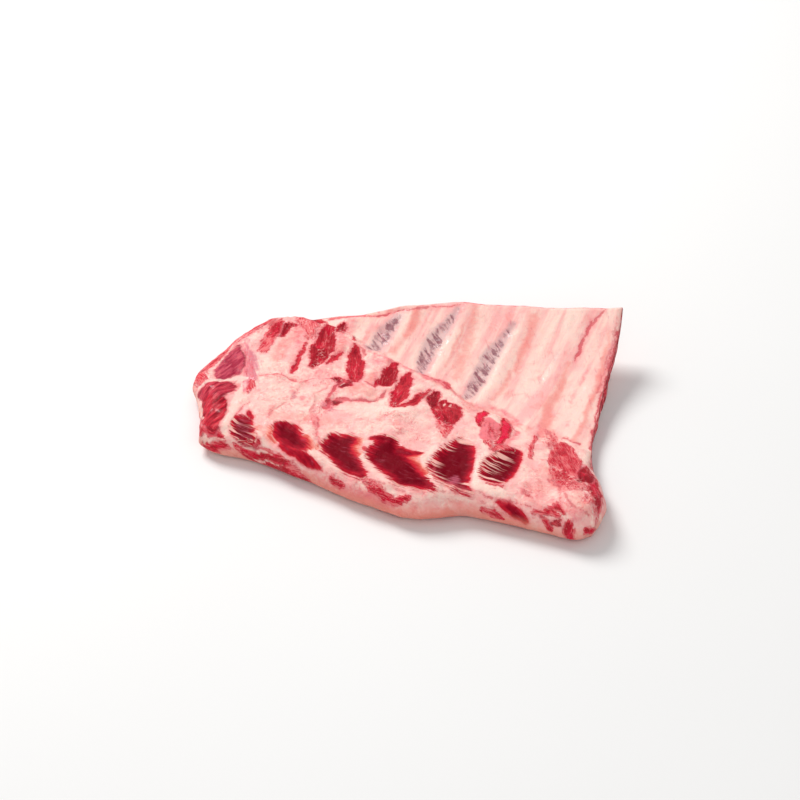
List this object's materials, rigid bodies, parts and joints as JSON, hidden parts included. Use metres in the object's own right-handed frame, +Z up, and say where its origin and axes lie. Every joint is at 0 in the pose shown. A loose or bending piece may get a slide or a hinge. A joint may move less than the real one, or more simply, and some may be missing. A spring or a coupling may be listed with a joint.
{
  "type": "raw rack of ribs",
  "caption": "Raw rack of ribs lying bone side up: a curved rib plate under thin membrane, and a thicker meaty side with fat, cartilage and red muscle.",
  "frame": {"origin": "centre of the bounding box at the height of the flat underside", "axes": "+X along the rack, from its thick rounded end to its sawn end; +Y from the meaty near edge to the sawn far edge of the ribs; +Z up"},
  "size_m": [0.2246, 0.1656, 0.0303],
  "materials": {
    "raw_meat": "moist"
  },
  "bodies": {
    "root": {"rib_rack": "raw_meat"}
  },
  "joints": []
}
